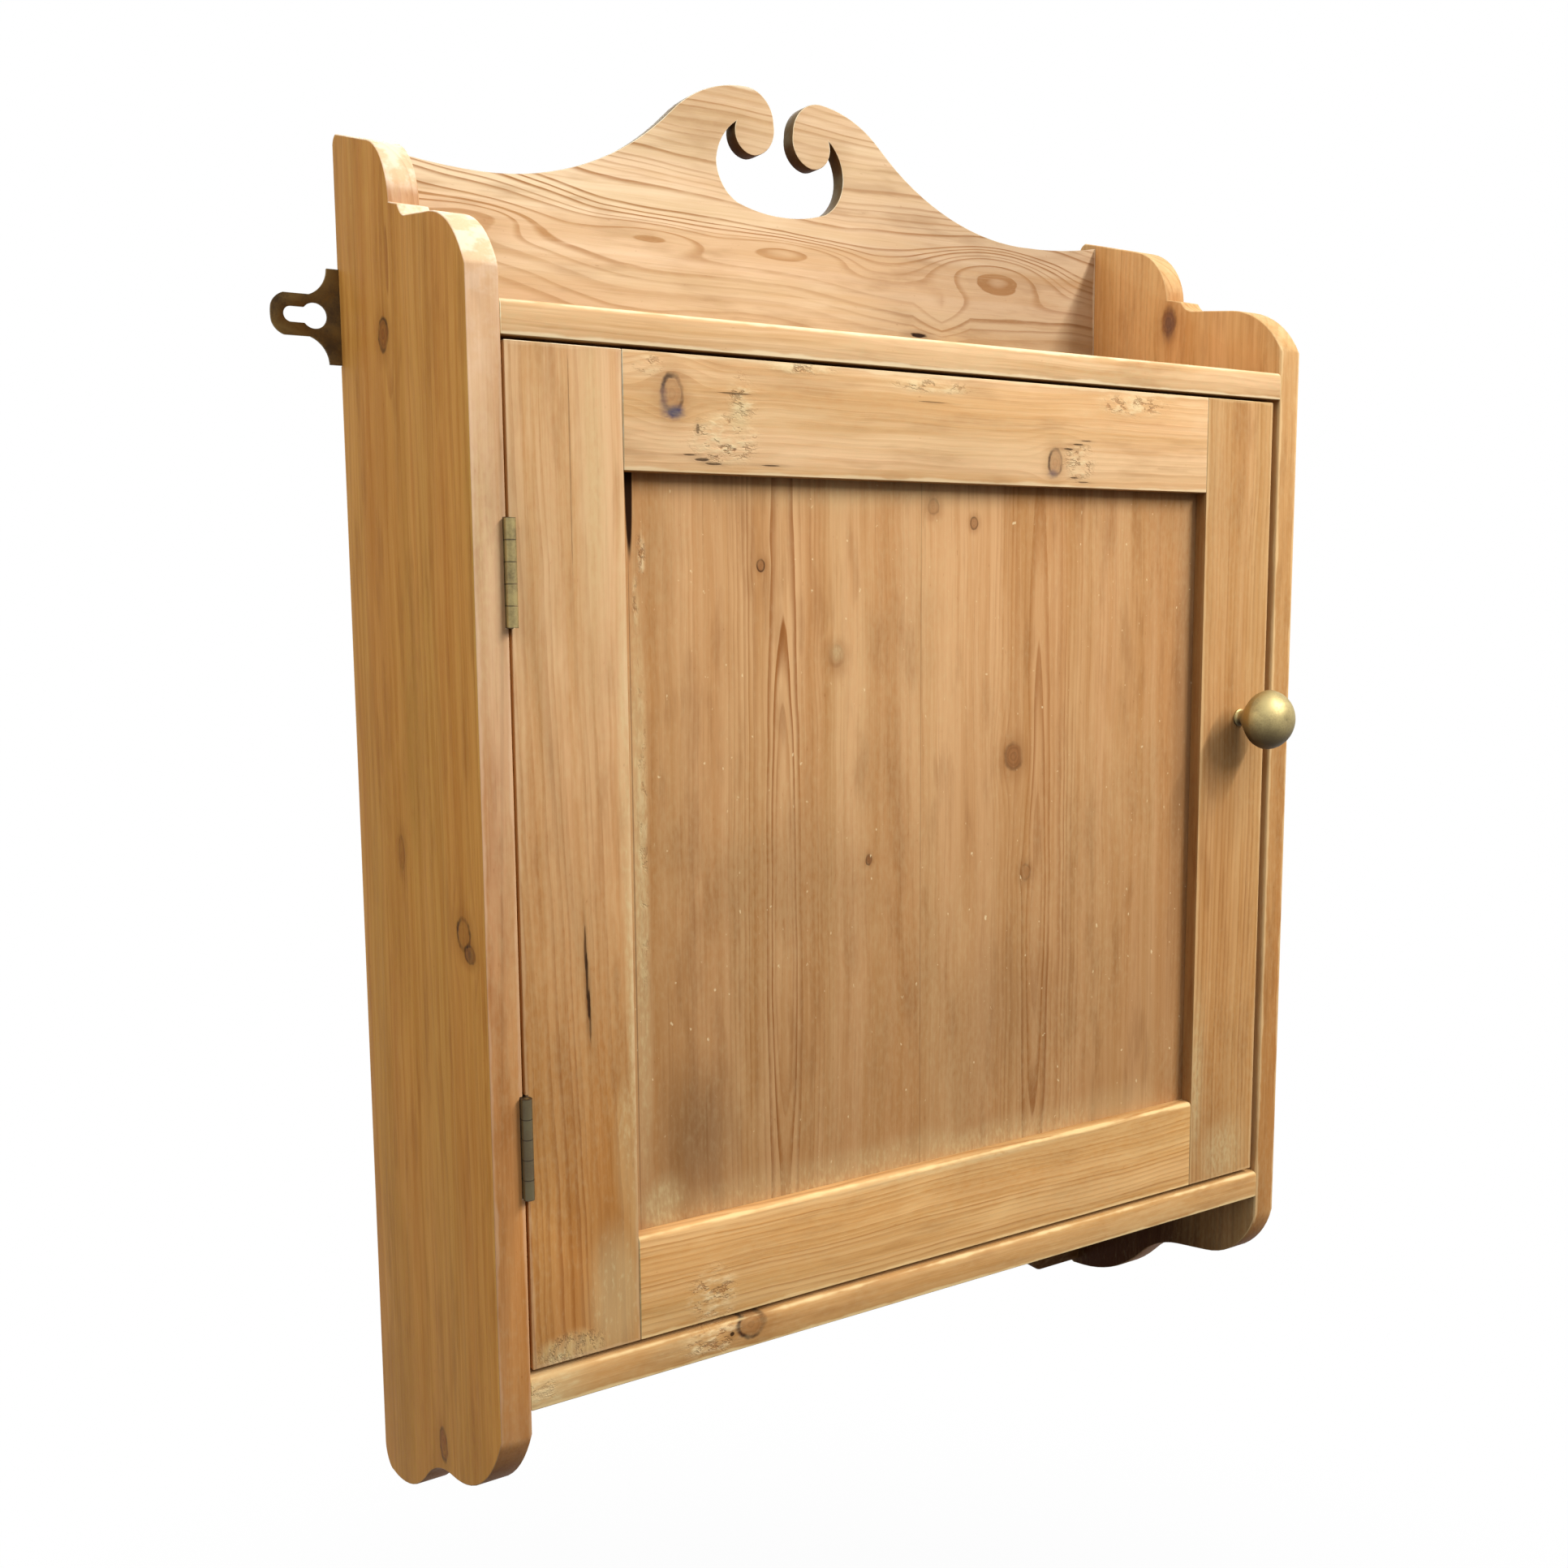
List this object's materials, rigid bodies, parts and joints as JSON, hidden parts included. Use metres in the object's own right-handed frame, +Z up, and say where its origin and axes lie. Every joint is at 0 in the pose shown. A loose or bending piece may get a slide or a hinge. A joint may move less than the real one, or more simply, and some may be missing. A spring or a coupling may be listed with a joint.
{
  "type": "wall-hung medicine cabinet",
  "caption": "Waxed pine wall cabinet with ogee-cut sides, a swan-neck scroll gable, a framed door on brass butt hinges with a round brass knob, and shelves inside.",
  "frame": {"origin": "on the wall, midway between the eyes of the two hanger plates", "axes": "+Z up, +Y into the wall, so the door faces -Y; +X to the right as seen from the front"},
  "size_m": [0.6808, 0.2417, 0.886],
  "materials": {
    "pine": "stripped and waxed pine with knots and worn arrises",
    "inner_pine": "bare inner pine boards",
    "aged_brass": "aged brass",
    "steel": "plain steel",
    "catch_case": "brown moulded case"
  },
  "bodies": {
    "carcass": {"left_side": "pine", "right_side": "pine", "top_board": "pine", "bottom_board": "pine", "gable_board": "pine", "apron_board": "pine", "back_board_1": "inner_pine", "back_board_2": "inner_pine", "back_board_3": "inner_pine", "back_board_4": "inner_pine", "back_board_5": "inner_pine", "back_board_6": "inner_pine", "lower_shelf": "inner_pine", "upper_shelf": "inner_pine", "lower_batten_left": "inner_pine", "lower_batten_right": "inner_pine", "upper_batten_left": "inner_pine", "upper_batten_right": "inner_pine", "door_stop": "inner_pine", "upper_hinge_frame_leaf": "aged_brass", "upper_hinge_pin": "aged_brass", "lower_hinge_frame_leaf": "aged_brass", "lower_hinge_pin": "aged_brass", "hinge_frame_screws": "aged_brass", "catch_magnet": "catch_case", "catch_screws": "steel", "left_hanger": "aged_brass", "right_hanger": "aged_brass", "hanger_screws": "aged_brass", "batten_screws": "steel", "back_nails": "steel"},
    "door": {"hinge_stile": "pine", "knob_stile": "pine", "bottom_rail": "pine", "top_rail": "pine", "door_panel": "pine", "upper_hinge_door_leaf": "aged_brass", "lower_hinge_door_leaf": "aged_brass", "hinge_door_screws": "aged_brass", "knob": "aged_brass", "knob_screw": "steel", "catch_keeper": "steel", "keeper_screw": "steel"}
  },
  "joints": [
    {"name": "door_swing", "type": "hinge", "parent": "carcass", "child": "door", "pos_m": [-0.281, -0.2045, -0.302], "axis": [0, 0, -1], "range_deg": [0, 175]}
  ]
}
